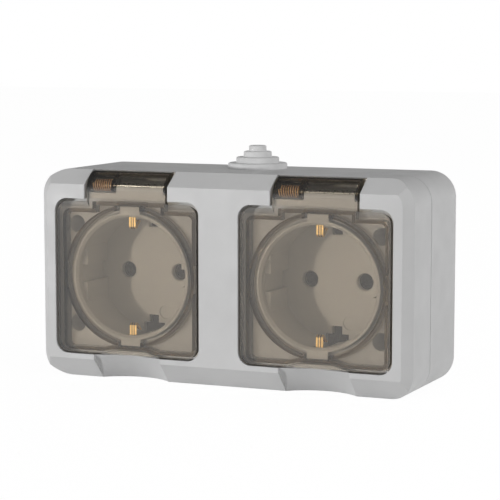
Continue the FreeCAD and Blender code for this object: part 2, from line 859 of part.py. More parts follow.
def add_screw_wells(body):
    """Deep wells at the four outer corners, each with a seat for a screw's head."""
    sketch = front_sketch(body, SEAT_DEPTH)
    for x, z in cover_screw_places():
        add_circle(sketch, x, z, S.well_radius + S.well_wall)
    pad(body, sketch, SEAT_DEPTH - FIELD_BACK + OVERRUN / 2)
    sketch = front_sketch(body, S.field_depth - OVERRUN)
    for x, z in cover_screw_places():
        add_circle(sketch, x, z, S.well_radius)
    pocket(body, sketch, SEAT_DEPTH - S.well_seat - S.field_depth + OVERRUN)
    sketch = front_sketch(body, SEAT_DEPTH - S.well_seat - OVERRUN)
    for x, z in cover_screw_places():
        add_circle(sketch, x, z, S.cover_screw_radius + S.screw_play)
    pocket(body, sketch, S.well_seat + OVERRUN * 2)


def make_front_cover():
    body = new_body("front_cover")
    cover_shell(body)
    centres = [S.socket_pitch / 2 * side for side in SIDES.values()]
    for centre in centres:
        add_hinge_housing(body, centre)
        add_scoop_back(body, centre)
    add_screw_wells(body)
    for centre in centres:
        cut_window(body, centre)
        add_scoop_sill(body, centre)
        cut_scoop(body, centre)
        cut_seal_groove(body, centre)
        cut_hinge_pocket(body, centre)
        cut_ear_bays(body, centre)
        cut_pin_seats(body, centre)
    return body


def make_socket_seal(side):
    """A soft ring in the recess floor, with a square step round each lug."""
    body = new_body(f"socket_seal_{side}", x=S.socket_pitch / 2 * SIDES[side])
    front = S.field_depth - S.seal_proud
    length = S.seal_proud + S.seal_groove
    half = S.seal_frame_half + S.seal_frame_wall
    sketch = front_sketch(body, front + length)
    add_circle(sketch, 0, 0, S.seal_inner + S.seal_width)
    add_circle(sketch, 0, 0, S.seal_inner)
    pad(body, sketch, length)
    for end in SIDES.values():
        sketch = front_sketch(body, front + length)
        outer = (S.seal_frame_reach + S.seal_frame_wall) * end
        add_rectangle(sketch, -half, half, S.seal_inner * end, outer)
        pad(body, sketch, length)
        sketch = front_sketch(body, front - OVERRUN)
        inner = S.seal_frame_half
        start = (S.seal_inner - OVERRUN) * end
        add_rectangle(sketch, -inner, inner, start, S.seal_frame_reach * end)
        pocket(body, sketch, length + OVERRUN * 2)
    return body


# The lids and their hinges.

def add_lid_plate(body):
    sketch = front_sketch(body, LID_BACK)
    half = LID_WIDTH / 2
    add_rounded_rectangle(sketch, -half, half, -LID_BOTTOM, S.lid_top, S.lid_corner)
    pad(body, sketch, S.lid_thickness)
    # the top edge slants so that it swings clear of the recess
    sketch = new_sketch(body, "YZ_Plane", half + OVERRUN)
    add_polygon(sketch, [
        (-at(S.lid_inset), S.lid_top + OVERRUN),
        (-at(S.lid_inset), S.lid_top),
        (-at(LID_BACK), S.lid_top - S.lid_top_slant),
        (-at(LID_BACK) + OVERRUN, S.lid_top - S.lid_top_slant),
        (-at(LID_BACK) + OVERRUN, S.lid_top + OVERRUN),
    ])
    pocket(body, sketch, LID_WIDTH + OVERRUN * 2)


def add_lid_skirt(body):
    """A wall behind the plate's edge, stepped up at the tail and above the finger scoop."""
    outer = LID_WIDTH / 2 - S.lid_skirt_inset
    inner = outer - S.lid_skirt_wall
    foot = LID_BOTTOM - S.lid_skirt_foot
    top = S.lid_skirt_top
    corner = S.lid_corner - S.lid_skirt_inset
    wall = S.lid_skirt_wall
    length = LID_REAR - LID_BACK
    sketch = front_sketch(body, LID_REAR)
    add_rounded_rectangle(sketch, -outer, outer, -foot, top, corner)
    add_rounded_rectangle(sketch, -inner, inner, -(foot - wall), top - wall, corner - wall)
    pad(body, sketch, length)
    # the step at the tail
    half = S.lid_step_half
    sketch = front_sketch(body, LID_REAR)
    add_rectangle(sketch, -half, half, top - wall, S.lid_step_top)
    pad(body, sketch, length)
    sketch = front_sketch(body, LID_REAR)
    half = half - wall
    add_rectangle(sketch, -half, half, top - wall - OVERRUN, S.lid_step_top - wall)
    pocket(body, sketch, length, backwards=True)
    # the step above the scoop, with slanted ends
    near = S.lid_grip_half
    far = near + S.lid_grip_run
    sketch = front_sketch(body, LID_REAR)
    add_polygon(sketch, [
        (-far, -foot),
        (far, -foot),
        (far, -(foot - wall)),
        (near, -(foot - wall - S.lid_grip_rise)),
        (-near, -(foot - wall - S.lid_grip_rise)),
        (-far, -(foot - wall)),
    ])
    pad(body, sketch, length)
    sketch = front_sketch(body, LID_REAR)
    add_polygon(sketch, [
        (-far, -(foot + OVERRUN)),
        (far, -(foot + OVERRUN)),
        (far, -foot),
        (near, -(foot - S.lid_grip_rise)),
        (-near, -(foot - S.lid_grip_rise)),
        (-far, -foot),
    ])
    pocket(body, sketch, length, backwards=True)


def add_lid_rib(body):
    """The ring that meets the seal, stepped out round the insert's two lugs."""
    length = LID_REAR - LID_BACK
    outer = S.lid_rib_inner + S.lid_rib_wall
    half = S.lid_rib_tab_half
    wall = S.lid_rib_wall
    reach = S.lug_reach + S.cup_opening_clearance
    sketch = front_sketch(body, LID_REAR)
    add_circle(sketch, 0, 0, outer)
    add_circle(sketch, 0, 0, S.lid_rib_inner)
    pad(body, sketch, length)
    sketch = front_sketch(body, LID_REAR)
    add_rectangle(sketch, -half - wall, half + wall, S.lid_rib_inner - wall, reach + wall)
    pad(body, sketch, length)
    sketch = front_sketch(body, LID_REAR)
    add_rectangle(sketch, -half - wall, half + wall, -(S.lid_rib_inner - wall), -(reach + wall))
    pad(body, sketch, length)
    sketch = front_sketch(body, LID_REAR)
    add_rectangle(sketch, -half, half, -reach, reach)
    pocket(body, sketch, length, backwards=True)


def tail_profile(sketch):
    """A quarter ring in the YZ plane, whose outside runs on from the lid's face."""
    centre_y = -at(S.lid_tail_depth)
    outer = TAIL_RADIUS
    inner = TAIL_RADIUS - S.lid_tail_wall
    middle = Vector(centre_y.value, S.lid_tail_height.value, 0)
    quarter = (math.pi / 2, math.pi)
    for radius in (outer, inner):
        circle = Part.Circle(middle, Vector(0, 0, 1), radius.value)
        item = sketch.addGeometry(Part.ArcOfCircle(circle, *quarter))
        pin_down(sketch, item, 3, centre_y, S.lid_tail_height)
        bind(sketch, Sketcher.Constraint("Radius", item, radius.value), radius)
    up = Vector(0, 1, 0)
    front = Vector(-1, 0, 0)
    for end, direction in ((1, up), (2, front)):
        line = Part.LineSegment(middle + direction * outer.value, middle + direction * inner.value)
        item = sketch.addGeometry(line)
        sketch.addConstraint(Sketcher.Constraint("Coincident", item, 1, 0, end))
        sketch.addConstraint(Sketcher.Constraint("Coincident", item, 2, 1, end))
        kind = "Vertical" if end == 1 else "Horizontal"
        sketch.addConstraint(Sketcher.Constraint(kind, item))
    bind(
        sketch,
        Sketcher.Constraint("DistanceY", -1, 1, 0, 2, S.lid_tail_height.value),
        S.lid_tail_height,
    )


def add_lid_tail(body):
    sketch = front_sketch(body, LID_BACK)
    add_rectangle(sketch, -TAIL_HALF, TAIL_HALF, S.lid_skirt_top, S.lid_tail_height)
    pad(body, sketch, S.lid_thickness)
    sketch = new_sketch(body, "YZ_Plane", -TAIL_HALF)
    tail_profile(sketch)
    pad(body, sketch, S.lid_tail_width)


def ear_places():
    """The left face and thickness of the three ears: at both ends, and beside the spring."""
    return [
        (-TAIL_HALF, S.end_ear_thickness),
        (INNER_EAR, S.ear_thickness),
        (TAIL_HALF - S.ear_thickness, S.ear_thickness),
    ]


def add_ears(body):
    pin_y = -at(S.hinge_depth)
    pin_z = S.hinge_height
    radius = S.ear_radius
    tail_y = -at(S.lid_tail_depth)
    tail_top = S.lid_tail_height + TAIL_RADIUS - S.lid_tail_wall
    for start, thickness in ear_places():
        sketch = new_sketch(body, "YZ_Plane", start)
        add_circle(sketch, pin_y, pin_z, radius)
        pad(body, sketch, thickness)
        sketch = new_sketch(body, "YZ_Plane", start)
        add_polygon(sketch, [
            (-at(LID_BACK - S.lid_thickness / 2), pin_z - radius * 0.8),
            (pin_y, pin_z - radius * 0.8),
            (pin_y + radius * 0.8, pin_z),
            (tail_y - S.ear_thickness / 2, tail_top + S.lid_tail_wall / 2),
            (tail_y - TAIL_RADIUS * 0.55, tail_top - S.lid_tail_wall * 0.6),
            (-at(LID_BACK - S.lid_thickness / 2), S.lid_tail_height + S.lid_thickness),
        ])
        pad(body, sketch, thickness)
    sketch = new_sketch(body, "YZ_Plane", TAIL_HALF + OVERRUN)
    add_circle(sketch, pin_y, pin_z, S.pin_radius + S.pin_bore_clearance)
    pocket(body, sketch, S.lid_tail_width + OVERRUN * 2)


def make_lid(side):
    body = new_body(f"lid_{side}", x=S.socket_pitch / 2 * SIDES[side])
    add_lid_plate(body)
    add_lid_skirt(body)
    add_lid_rib(body)
    add_lid_tail(body)
    add_ears(body)
    return body


def make_hinge_pin(side):
    body = new_body(f"hinge_pin_{side}", x=S.socket_pitch / 2 * SIDES[side])
    sketch = new_sketch(body, "YZ_Plane", -PIN_HALF)
    add_circle(sketch, -at(S.hinge_depth), S.hinge_height, S.pin_radius)
    pad(body, sketch, PIN_HALF * 2)
    return body


def spring_line():
    """The wire's middle line about the pin, from the leg on the cover to the leg on the lid."""
    edge = S.spring_play.value + S.spring_wire.value / 2
    length = S.spring_bay.value - edge * 2
    turns = S.spring_turns.value + S.spring_end_angle.value / 360
    radius = S.spring_radius.value
    start = math.radians(90 + S.spring_start_angle.value)
    steps = round(turns * SPRING_SIDES)
    coil = []
    for step in range(steps + 1):
        angle = start - 2 * math.pi * turns * step / steps
        x = INNER_EAR.value - edge - length * step / steps
        coil.append(Vector(x, radius * math.cos(angle), radius * math.sin(angle)))
    # each leg leaves at a tangent to the coil
    turned = start - 2 * math.pi * turns
    cover_way = Vector(0, -math.sin(start), math.cos(start)) * S.spring_cover_leg.value
    lid_way = Vector(0, math.sin(turned), -math.cos(turned)) * S.spring_lid_leg.value
    return [coil[0] + cover_way, *coil, coil[-1] + lid_way]


def wire_rings(line, radius):
    """A ring of corners round each point of the line, square to the wire."""
    rings = []
    for index, point in enumerate(line):
        ahead = line[min(index + 1, len(line) - 1)]
        behind = line[max(index - 1, 0)]
        along = (ahead - behind).normalize()
        outward = Vector(0, point.y, point.z).normalize()
        across = along.cross(outward).normalize()
        outward = across.cross(along)
        rings.append([
            point
            + outward * (radius * math.cos(2 * math.pi * corner / WIRE_SIDES))
            + across * (radius * math.sin(2 * math.pi * corner / WIRE_SIDES))
            for corner in range(WIRE_SIDES)
        ])
    return rings


def make_lid_spring(side):
    """A torsion spring on the pin, with one leg on the cover and one on the lid's tail."""
    rings = wire_rings(spring_line(), S.spring_wire.value / 2)
    faces = [Part.Face(Part.makePolygon([*end, end[0]])) for end in (rings[0], rings[-1])]
    for ring, following in zip(rings, rings[1:]):
        for corner in range(WIRE_SIDES):
            beside = (corner + 1) % WIRE_SIDES
            low, high = ring[corner], following[beside]
            for other in (ring[beside], following[corner]):
                faces.append(Part.Face(Part.makePolygon([low, other, high, low])))
    label = f"lid_spring_{side}"
    spring = document.addObject("Part::Feature", label)
    spring.Label = label
    solid = Part.Solid(Part.Shell(faces))
    if solid.Volume < 0:
        solid.reverse()
    spring.Shape = solid
    centre = S.socket_pitch.value / 2 * SIDES[side]
    spring.Placement.Base = Vector(centre, -at(S.hinge_depth).value, S.hinge_height.value)
    return spring


# The socket inserts.

def add_cup(body):
    sketch = front_sketch(body, CUP_BACK)
    add_circle(sketch, 0, 0, CUP_OUTER)
    pad(body, sketch, CUP_BACK - RIM)
    sketch = front_sketch(body, FIELD_BACK + S.cup_flange)
    add_circle(sketch, 0, 0, S.cup_flange_radius)
    pad(body, sketch, S.cup_flange)
    sketch = front_sketch(body, CUP_BACK)
    half = S.boss_width / 2
    add_rectangle(sketch, -half, half, -S.boss_reach, S.boss_reach)
    pad(body, sketch, CUP_BACK - FIELD_BACK)
    sketch = front_sketch(body, FIELD_BACK + OVERRUN)
    half = S.lug_width / 2
    add_rectangle(sketch, -half, half, -S.lug_reach, S.lug_reach)
    pad(body, sketch, FIELD_BACK + OVERRUN - RIM)


def add_insert_ears(body, side):
    x = S.ear_offset * -SIDES[side]
    for radius, start, length in (
        (S.insert_ear_radius, FIELD_BACK + S.insert_ear_height, S.insert_ear_height),
    ):
        sketch = front_sketch(body, start)
        for end in SIDES.values():
            add_circle(sketch, x, S.ear_offset * end, radius)
        pad(body, sketch, length)
    for radius, length in (
        (S.insert_head_pocket, S.insert_screw_head + S.screw_play),
        (S.insert_screw_clearance, S.insert_ear_height),
    ):
        sketch = front_sketch(body, FIELD_BACK - OVERRUN)
        for end in SIDES.values():
            add_circle(sketch, x, S.ear_offset * end, radius)
        pocket(body, sketch, length + OVERRUN)


def cut_well_notches(body, side):
    """The flange steps back from the cover's two screw wells beside it."""
    sketch = front_sketch(body, FIELD_BACK - OVERRUN)
    x = (S.cover_screw_x - S.socket_pitch / 2) * SIDES[side]
    for end in SIDES.values():
        add_circle(sketch, x, S.cover_screw_z * end, S.well_radius + S.well_wall + S.well_play)
    pocket(body, sketch, S.cup_flange + OVERRUN * 2)


def guided_outline(sketch):
    """A circle with a straight side at its left and right."""
    flat = S.guide_flat
    radius = S.cup_radius
    height = math.sqrt(radius.value ** 2 - flat.value ** 2)
    angle = math.atan2(height, flat.value)
    circle = Part.Circle(Vector(), Vector(0, 0, 1), radius.value)
    top = sketch.addGeometry(Part.ArcOfCircle(circle, angle, math.pi - angle))
    bottom = sketch.addGeometry(Part.ArcOfCircle(circle, math.pi + angle, 2 * math.pi - angle))
    corner = Vector(flat.value, height, 0)
    left = sketch.addGeometry(
        Part.LineSegment(Vector(-corner.x, corner.y, 0), Vector(-corner.x, -corner.y, 0))
    )
    right = sketch.addGeometry(Part.LineSegment(Vector(corner.x, -corner.y, 0), corner))
    for first, start, second, end in (
        (top, 2, left, 1),
        (left, 2, bottom, 1),
        (bottom, 2, right, 1),
        (right, 2, top, 1),
    ):
        sketch.addConstraint(Sketcher.Constraint("Coincident", first, start, second, end))
    for arc in (top, bottom):
        sketch.addConstraint(Sketcher.Constraint("Coincident", arc, 3, -1, 1))
    for line in (left, right):
        sketch.addConstraint(Sketcher.Constraint("Vertical", line))
    sketch.addConstraint(Sketcher.Constraint("Equal", top, bottom))
    bind(sketch, Sketcher.Constraint("Radius", top, radius.value), radius)
    bind(sketch, Sketcher.Constraint("DistanceX", -1, 1, right, 2, flat.value), flat)
    bind(sketch, Sketcher.Constraint("DistanceX", -1, 1, left, 1, -flat.value), -flat)


def cut_cavity(body):
    sketch = front_sketch(body, RIM - OVERRUN)
    add_circle(sketch, 0, 0, S.cup_radius)
    pocket(body, sketch, S.guide_drop + OVERRUN)
    sketch = front_sketch(body, RIM + S.guide_drop - OVERRUN)
    guided_outline(sketch)
    pocket(body, sketch, S.cup_depth - S.guide_drop + OVERRUN)
    sketch = front_sketch(body, RIM + S.guide_drop - OVERRUN)
    half = S.guide_groove / 2
    side = S.cup_radius - S.cup_wall / 4
    add_rectangle(sketch, -side, side, -half, half)
    pocket(body, sketch, S.cup_depth - S.guide_drop + OVERRUN)
    front = -at(RIM).value
    radius = S.cup_radius.value
    names = edges_where(body, lambda edge: is_circle(edge, front, radius))
    bevel(body, names, S.cup_rim_bevel)


def is_circle(edge, y, radius):
    return (
        lies_in_plane(edge, "y", y)
        and isinstance(edge.Curve, Part.Circle)
        and abs(edge.Curve.Radius - radius) < 1e-4
    )


def cut_contact_openings(body):
    """The two pin holes, and above and below them the ways for the earth clips."""
    sketch = front_sketch(body, CUP_FLOOR - OVERRUN)
    for side in SIDES.values():
        add_circle(sketch, S.pin_spacing / 2 * side, 0, S.pin_hole_radius)
    pocket(body, sketch, S.cup_floor + OVERRUN * 2)
    floor = -at(CUP_FLOOR).value
    radius = S.pin_hole_radius.value
    names = edges_where(body, lambda edge: is_circle(edge, floor, radius))
    bevel(body, names, S.pin_hole_bevel)
    for end in SIDES.values():
        narrow = S.slot_narrow / 2
        wide = S.slot_wide / 2
        channel = S.channel_width / 2
        reach = S.channel_reach * end
        sketch = front_sketch(body, CUP_FLOOR - OVERRUN)
        add_rectangle(sketch, -narrow, narrow, S.slot_narrow_start * end, S.cup_radius * end)
        pocket(body, sketch, S.cup_floor + OVERRUN * 2)
        sketch = front_sketch(body, CUP_BACK - S.slot_wide_length)
        add_rectangle(sketch, -wide, wide, S.slot_wide_start * end, reach)
        pocket(body, sketch, S.slot_wide_length + OVERRUN)
        sketch = front_sketch(body, RIM + S.channel_drop)
        add_rectangle(sketch, -channel, channel, (S.cup_radius - OVERRUN) * end, reach)
        pocket(body, sketch, CUP_BACK - RIM - S.channel_drop + OVERRUN)


def make_socket_insert(side):
    body = new_body(f"socket_insert_{side}", x=S.socket_pitch / 2 * SIDES[side])
    add_cup(body)
    cut_well_notches(body, side)
    add_insert_ears(body, side)
    cut_cavity(body)
    cut_contact_openings(body)
    sketch = front_sketch(body, CUP_FLOOR - OVERRUN)
    add_circle(sketch, S.mark_x, -S.mark_z, S.mark_radius)
    pocket(body, sketch, S.mark_depth + OVERRUN)
    return body


def make_contact_carrier(side):
    """The moulded block behind the cup, with a bay for each pole and one for earth."""
    body = new_body(f"contact_carrier_{side}", x=S.socket_pitch / 2 * SIDES[side])
    half = S.carrier_width / 2
    top = S.carrier_height / 2
    sketch = front_sketch(body, CARRIER_REAR)
    add_rectangle(sketch, -half, half, -top, top)
    pad(body, sketch, CARRIER_REAR - CUP_BACK)
    bay = CARRIER_REAR - CUP_BACK - S.carrier_back
    sketch = front_sketch(body, CUP_BACK - OVERRUN)
    for pole in SIDES.values():
        x = S.pin_spacing / 2 * pole
        width = S.pole_bay_width / 2
        add_rectangle(sketch, x - width, x + width, -S.pole_bay_drop, top + OVERRUN)
    pocket(body, sketch, bay + OVERRUN)
    sketch = front_sketch(body, CUP_BACK - OVERRUN)
    width = S.earth_bay_width / 2
    add_rectangle(sketch, -width, width, -(top + OVERRUN), -(S.earth_block_top - S.screw_play))
    pocket(body, sketch, bay + OVERRUN)
    sketch = front_sketch(body, CUP_BACK - OVERRUN)
    width = S.earth_strip_width / 2 + S.screw_play
    add_rectangle(sketch, -width, width, -(top + OVERRUN), top + OVERRUN)
    pocket(body, sketch, S.earth_back_gap + S.earth_strip + S.screw_play + OVERRUN)
    return body


def make_contact(pole, side):
    """A slit sleeve that grips a plug's pin, with the terminal block on top of it."""
    direction = {"line": -1, "neutral": 1}[pole]
    place = S.socket_pitch / 2 * SIDES[side] + S.pin_spacing / 2 * direction
    body = new_body(f"{pole}_contact_{side}", x=place)
    start = CUP_BACK + S.sleeve_start
    outer = S.sleeve_inner + S.sleeve_wall
    sketch = front_sketch(body, start + S.sleeve_length)
    add_circle(sketch, 0, 0, outer)
    pad(body, sketch, S.sleeve_length)
    block_start = CUP_BACK + S.terminal_start
    half = S.terminal_width / 2
    sketch = front_sketch(body, block_start + S.terminal_length)
    add_rectangle(sketch, -half, half, 0, S.terminal_top)
    pad(body, sketch, S.terminal_length)
    sketch = front_sketch(body, start - OVERRUN)
    add_circle(sketch, 0, 0, S.sleeve_inner)
    pocket(body, sketch, S.sleeve_length + OVERRUN * 2)
    sketch = front_sketch(body, start - OVERRUN)
    slit = S.sleeve_slit / 2
    add_rectangle(sketch, -slit, slit, -(outer + OVERRUN), 0)
    pocket(body, sketch, S.sleeve_length + OVERRUN * 2)
    add_terminal_holes(body, block_start, S.terminal_top, 1)
    return body


def add_terminal_holes(body, block_start, top, upward):
    """A hole through the block for the wire, and one across it for the screw."""
    sketch = front_sketch(body, block_start - OVERRUN)
    wire_z = top - S.terminal_screw_length + S.wire_hole_radius / 2
    add_circle(sketch, 0, wire_z * upward, S.wire_hole_radius)
    pocket(body, sketch, S.terminal_length + OVERRUN * 2)
    sketch = new_sketch(body, "XY_Plane", (top + OVERRUN) * upward)
    middle = block_start + S.terminal_length / 2
    add_circle(sketch, 0, -at(middle), S.terminal_screw_radius)
    pocket(body, sketch, S.terminal_screw_length + OVERRUN, backwards=upward < 0)


def earth_path(sketch):
    """The upper half of the bent strip, from behind the cup to the end of its clip."""
    front = RIM + S.channel_drop + S.earth_strip
    back = CUP_BACK + S.earth_back_gap
    tip = S.earth_tip_reach
    arm = S.earth_arm_reach
    bend = S.earth_bend
    corners = [
        (-at(back), 0),
        (-at(back), arm - bend),
        (-at(back - bend), arm),
        (-at(front + bend), arm),
        (-at(front), arm - bend),
        (-at(front), tip + bend / 2),
        (-at(front + bend / 2), tip),
        (-at(front + bend * 3), tip + bend * 2),
    ]
    points = [Vector(y.value, as_length(z).value, 0) for y, z in corners]
    lines = len(points) - 1
    for index in range(lines):
        sketch.addGeometry(Part.LineSegment(points[index], points[index + 1]))
    for index in range(lines - 1):
        sketch.addConstraint(Sketcher.Constraint("Coincident", index, 2, index + 1, 1))
    for index, (y, z) in enumerate(corners[:-1]):
        pin_down(sketch, index, 1, y, z)
    pin_down(sketch, lines - 1, 2, *corners[-1])


def make_earth_contact(side):
    """One bent strip: both clips, their arms along the cup, and the bridge behind it."""
    body = new_body(f"earth_contact_{side}", x=S.socket_pitch / 2 * SIDES[side])
    path = new_sketch(body, "YZ_Plane", 0)
    earth_path(path)
    back = CUP_BACK + S.earth_back_gap
    section = new_sketch(body, "XY_Plane", 0)
    half = S.earth_strip_width / 2
    thick = S.earth_strip / 2
    add_rectangle(section, -half, half, -at(back - thick), -at(back + thick))
    document.recompute()
    strip = body.newObject("PartDesign::AdditivePipe", "Pipe")
    strip.Profile = section
    strip.Spine = (path, [])
    strip.Transition = "Round corner"
    document.recompute()
    mirrored = body.newObject("PartDesign::Mirrored", "Mirrored")
    mirrored.Originals = [strip]
    mirrored.MirrorPlane = (origin_feature(body, "XY_Plane"), [""])
    body.Tip = mirrored
    document.recompute()
    block_start = back + thick
    half = S.earth_block_width / 2
    sketch = front_sketch(body, block_start + S.terminal_length)
    add_rectangle(sketch, -half, half, -S.terminal_top, -S.earth_block_top)
    pad(body, sketch, S.terminal_length + thick)
    add_terminal_holes(body, block_start, S.terminal_top, -1)
    return body


# Screws.

def make_screw(label, places, head, length, turn):
    """A slotted screw about its own Z axis, with its head's underside at the origin."""
    head_radius, head_height, shank = head
    body = new_body(label, *places, turn=turn)
    sketch = new_sketch(body, "XZ_Plane", 0)
    point = shank / 2
    add_polygon(sketch, [
        (0, head_height),
        (head_radius * 0.8, head_height),
        (head_radius, head_height * 0.6),
        (head_radius, 0),
        (shank, 0),
        (shank, -(length - point)),
        (point, -length),
        (0, -length),
    ])
    revolve(body, sketch, "V_Axis")
    sketch = new_sketch(body, "XY_Plane", head_height + OVERRUN)
    half = S.drive_slot / 2
    reach = head_radius + OVERRUN
    add_rectangle(sketch, -half, half, -reach, reach)
    pocket(body, sketch, S.drive_slot_depth + OVERRUN)
    return body


def make_terminal_screws(side):
    head = (S.terminal_head_radius, S.terminal_head, S.terminal_screw_radius - S.screw_play / 4)
    centre = S.socket_pitch / 2 * SIDES[side]
    pole_y = -at(CUP_BACK + S.terminal_start + S.terminal_length / 2)
    earth_start = CUP_BACK + S.earth_back_gap + S.earth_strip / 2
    earth_y = -at(earth_start + S.terminal_length / 2)
    length = S.terminal_screw_length - S.wire_hole_radius
    upright = Rotation()
    turned = Rotation(Vector(1, 0, 0), 180)
    return [
        make_screw(
            f"line_terminal_screw_{side}",
            (centre - S.pin_spacing / 2, pole_y, S.terminal_top),
            head, length, upright,
        ),
        make_screw(
            f"neutral_terminal_screw_{side}",
            (centre + S.pin_spacing / 2, pole_y, S.terminal_top),
            head, length, upright,
        ),
        make_screw(
            f"earth_terminal_screw_{side}",
            (centre, earth_y, -S.terminal_top),
            head, length, turned,
        ),
    ]


def make_housing_screws():
    """Their heads face the front, so each is turned from Z to -Y."""
    facing_front = Rotation(Vector(1, 0, 0), 90)
    screws = []
    cover_head = (S.cover_screw_head_radius, S.cover_screw_head, S.cover_screw_radius - S.screw_play / 4)
    insert_head = (S.insert_screw_head_radius, S.insert_screw_head, S.cover_screw_radius - S.screw_play / 4)
    cover_y = -at(SEAT_DEPTH - S.well_seat)
    insert_y = -at(FIELD_BACK + S.insert_screw_head + S.screw_play)
    for number, (x, z) in enumerate(cover_screw_places(), start=1):
        screws.append(make_screw(
            f"cover_screw_{number}", (x, cover_y, z), cover_head, S.cover_screw_length, facing_front
        ))
    for number, (x, z) in enumerate(insert_screw_places(), start=1):
        screws.append(make_screw(
            f"insert_screw_{number}", (x, insert_y, z), insert_head, S.insert_screw_length, facing_front
        ))
    return screws


def make_all():
    parts = [make_base_box(), make_cover_gasket(), make_cable_grommet(), make_front_cover()]
    for side in SIDES:
        parts.append(make_socket_seal(side))
        parts.append(make_lid(side))
        parts.append(make_hinge_pin(side))
        parts.append(make_lid_spring(side))
        parts.append(make_socket_insert(side))
        parts.append(make_contact_carrier(side))
        parts.append(make_contact("line", side))
        parts.append(make_contact("neutral", side))
        parts.append(make_earth_contact(side))
        parts.extend(make_terminal_screws(side))
    parts.extend(make_housing_screws())
    return parts


def check_and_export(parts):
    document.recompute()
    for item in document.Objects:
        if "Invalid" in item.State or "Error" in item.State:
            raise RuntimeError(f"{item.Label} has the state {item.State}")
    for part in parts:
        shape = part.Shape
        if shape.isNull() or not shape.isValid() or not shape.Solids:
            raise RuntimeError(f"{part.Label} has no valid solid")
    os.makedirs("parts", exist_ok=True)
    for part in parts:
        part.Shape.exportStep(f"parts/{part.Label}.step")
        print(part.Label, len(part.Shape.Solids), round(part.Shape.Volume, 2))


check_and_export(make_all())
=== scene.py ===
import json
import math

import bmesh
import bpy
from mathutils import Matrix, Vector


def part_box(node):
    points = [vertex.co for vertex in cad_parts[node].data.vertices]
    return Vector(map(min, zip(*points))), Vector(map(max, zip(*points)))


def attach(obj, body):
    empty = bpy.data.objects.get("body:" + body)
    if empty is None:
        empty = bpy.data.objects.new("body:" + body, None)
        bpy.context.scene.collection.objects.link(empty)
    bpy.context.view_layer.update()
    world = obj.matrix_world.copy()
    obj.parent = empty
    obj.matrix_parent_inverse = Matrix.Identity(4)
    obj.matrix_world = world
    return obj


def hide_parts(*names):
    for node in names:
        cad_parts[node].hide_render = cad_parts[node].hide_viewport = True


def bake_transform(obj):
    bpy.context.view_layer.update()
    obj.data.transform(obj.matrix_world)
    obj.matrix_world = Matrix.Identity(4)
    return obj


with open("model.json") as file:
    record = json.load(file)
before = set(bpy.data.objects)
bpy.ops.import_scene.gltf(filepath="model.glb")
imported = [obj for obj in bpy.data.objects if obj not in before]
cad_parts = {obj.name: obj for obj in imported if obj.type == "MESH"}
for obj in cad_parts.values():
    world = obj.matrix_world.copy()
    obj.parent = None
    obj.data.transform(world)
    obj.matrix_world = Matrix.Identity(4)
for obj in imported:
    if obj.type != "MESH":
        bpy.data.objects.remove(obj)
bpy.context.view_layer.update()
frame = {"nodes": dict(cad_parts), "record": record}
nodes = frame["nodes"]
scene = bpy.context.scene

MM = 0.001
HOUSING = "housing"
PITCH = 65.8
CENTRES = {"left": -PITCH / 2, "right": PITCH / 2}


def linear(red, green, blue):
    """The linear colour of an 8-bit display colour."""
    def channel(value):
        value /= 255
        return value / 12.92 if value <= 0.04045 else ((value + 0.055) / 1.055) ** 2.4
    return (channel(red), channel(green), channel(blue), 1.0)


def scaled(colour, factor):
    return tuple(min(part * factor, 1.0) for part in colour[:3]) + (1.0,)


def calculate(tree, operation, *values):
    """The output of a math node on sockets and numbers."""
    node = tree.nodes.new("ShaderNodeMath")
    node.operation = operation
    for socket, value in zip(node.inputs, values):
        if isinstance(value, bpy.types.NodeSocket):
            tree.links.new(value, socket)
        else:
            socket.default_value = value
    return node.outputs["Value"]


def background_rays(tree, path):
    """1 for the rays that show the background: to the camera, off gloss and through glass.

    A ray that has left a matt surface lights the object, so it isn't one of them.
    """
    shown = calculate(
        tree, "MAXIMUM", path.outputs["Is Camera Ray"], path.outputs["Is Glossy Ray"]
    )
    shown = calculate(tree, "MAXIMUM", shown, path.outputs["Is Transmission Ray"])
    direct = calculate(tree, "LESS_THAN", path.outputs["Diffuse Depth"], 0.5)
    return calculate(tree, "MULTIPLY", shown, direct)


# Materials.

MIX_FIRST = 6
MIX_SECOND = 7
MIX_RESULT = 2
WHITE = (1.0, 1.0, 1.0, 1.0)
RIB_OFFSET = 0.4 * MM
# The depth in metres behind which the contacts get painted shade in their colour.
SHADE_DEPTH = -0.034


